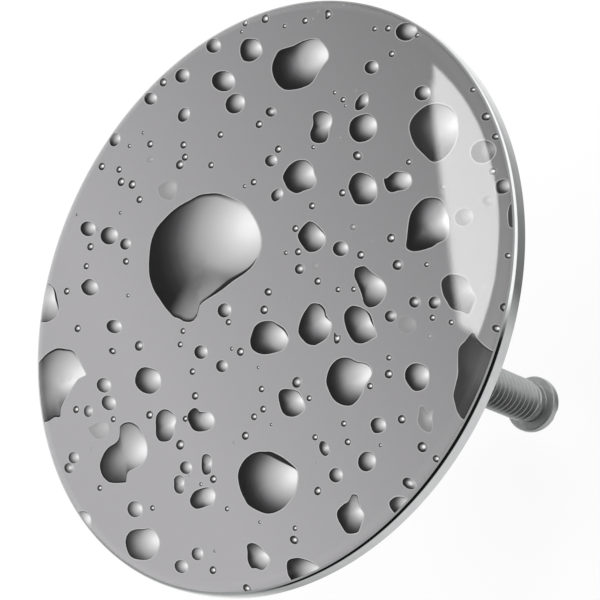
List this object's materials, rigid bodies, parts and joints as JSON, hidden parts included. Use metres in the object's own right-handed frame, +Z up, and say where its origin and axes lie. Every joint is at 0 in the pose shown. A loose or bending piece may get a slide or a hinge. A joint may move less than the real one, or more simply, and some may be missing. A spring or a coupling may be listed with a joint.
{
  "type": "drain stopper",
  "caption": "Round bath drain stopper: a printed cap under a clear domed lens, a rubber lip seal on a threaded hub, and a long adjusting screw that stands on the waste's lifting lever.",
  "frame": {"origin": "centre of the ring on which the seal's lip stands in the drain", "axes": "+Z up out of the drain along the plug's axis, towards the printed cap; the screw points down, along -Z"},
  "size_m": [0.072, 0.072, 0.0613],
  "materials": {
    "cap_chrome": "polished chrome plate",
    "printed_film": "printed with grey water drops",
    "clear_resin": "clear poured resin, glossy",
    "turned_brass": "turned, fine tool marks",
    "black_rubber": "moulded, matt",
    "pressed_steel": "pressed stainless sheet",
    "zinc_steel": "zinc plated steel"
  },
  "bodies": {
    "stopper": {"cap_plate": "cap_chrome", "print_film": "printed_film", "clear_dome": "clear_resin", "cap_screw": "zinc_steel", "hub": "turned_brass", "drain_seal": "black_rubber", "seal_carrier": "pressed_steel", "seal_nut": "turned_brass"},
    "washer": {"lock_washer": "zinc_steel"},
    "screw": {"adjusting_screw": "zinc_steel"},
    "nut": {"lock_nut": "zinc_steel"}
  },
  "joints": [
    {"name": "screw_travel", "type": "slide", "parent": "stopper", "child": "washer", "axis": [0, 0, -1], "range_m": [0, 0.008]},
    {"name": "screw_turn", "type": "hinge", "parent": "washer", "child": "screw", "pos_m": [0, 0, -0.01], "axis": [0, 0, -1], "range_deg": [0, 2880]},
    {"name": "nut_travel", "type": "slide", "parent": "screw", "child": "nut", "axis": [0, 0, -1], "range_m": [0, 0.028]}
  ],
  "couplings": [
    {"joint": "screw_turn", "follows": "screw_travel", "rad_per_m": 6283.2}
  ]
}
